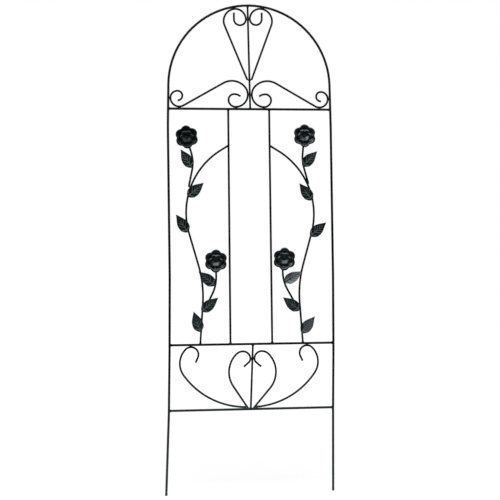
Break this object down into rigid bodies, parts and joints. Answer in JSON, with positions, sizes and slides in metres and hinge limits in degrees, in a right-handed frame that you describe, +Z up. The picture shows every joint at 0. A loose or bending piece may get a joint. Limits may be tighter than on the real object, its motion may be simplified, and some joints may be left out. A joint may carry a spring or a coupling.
{
  "type": "metal trellis arch",
  "caption": "Flat garden trellis panel of black coated steel rod with a round arched top, scrolls, climbing stems with leaves and roses, and two legs to push into soil.",
  "frame": {"origin": "on the ground below the middle of the panel, in the plane of the rods", "axes": "+X to the right across the panel seen from the front, +Z up along the posts, the leaves and roses face -Y"},
  "size_m": [0.516, 0.0249, 1.47],
  "materials": {
    "rod_coat": "satin black powder coat on round steel rod",
    "ornament_coat": "satin black powder coat on pressed sheet steel",
    "weld_coat": "satin black powder coat over small weld beads"
  },
  "bodies": {
    "root": {"arch_frame": "rod_coat", "base_heart_left": "rod_coat", "base_heart_right": "rod_coat", "base_spindle": "rod_coat", "base_welds": "weld_coat", "base_wing_left": "rod_coat", "base_wing_right": "rod_coat", "crown_heart_left": "rod_coat", "crown_heart_right": "rod_coat", "crown_spindle": "rod_coat", "crown_welds": "weld_coat", "crown_wing_left": "rod_coat", "crown_wing_right": "rod_coat", "frame_welds": "weld_coat", "leaf_left_1": "ornament_coat", "leaf_left_2": "ornament_coat", "leaf_left_3": "ornament_coat", "leaf_left_4": "ornament_coat", "leaf_left_5": "ornament_coat", "leaf_left_6": "ornament_coat", "leaf_right_1": "ornament_coat", "leaf_right_2": "ornament_coat", "leaf_right_3": "ornament_coat", "leaf_right_4": "ornament_coat", "leaf_right_5": "ornament_coat", "leaf_right_6": "ornament_coat", "lower_bud_stem_left": "rod_coat", "lower_bud_stem_right": "rod_coat", "lower_crossbar": "rod_coat", "main_stem_left": "rod_coat", "main_stem_right": "rod_coat", "middle_crossbar": "rod_coat", "rose_lower_left_inner": "ornament_coat", "rose_lower_left_outer": "ornament_coat", "rose_lower_right_inner": "ornament_coat", "rose_lower_right_outer": "ornament_coat", "rose_rivets": "ornament_coat", "rose_upper_left_inner": "ornament_coat", "rose_upper_left_outer": "ornament_coat", "rose_upper_right_inner": "ornament_coat", "rose_upper_right_outer": "ornament_coat", "stem_welds": "weld_coat", "top_crossbar": "rod_coat", "upper_bud_stem_left": "rod_coat", "upper_bud_stem_right": "rod_coat", "upright_left": "rod_coat", "upright_right": "rod_coat"}
  },
  "joints": []
}
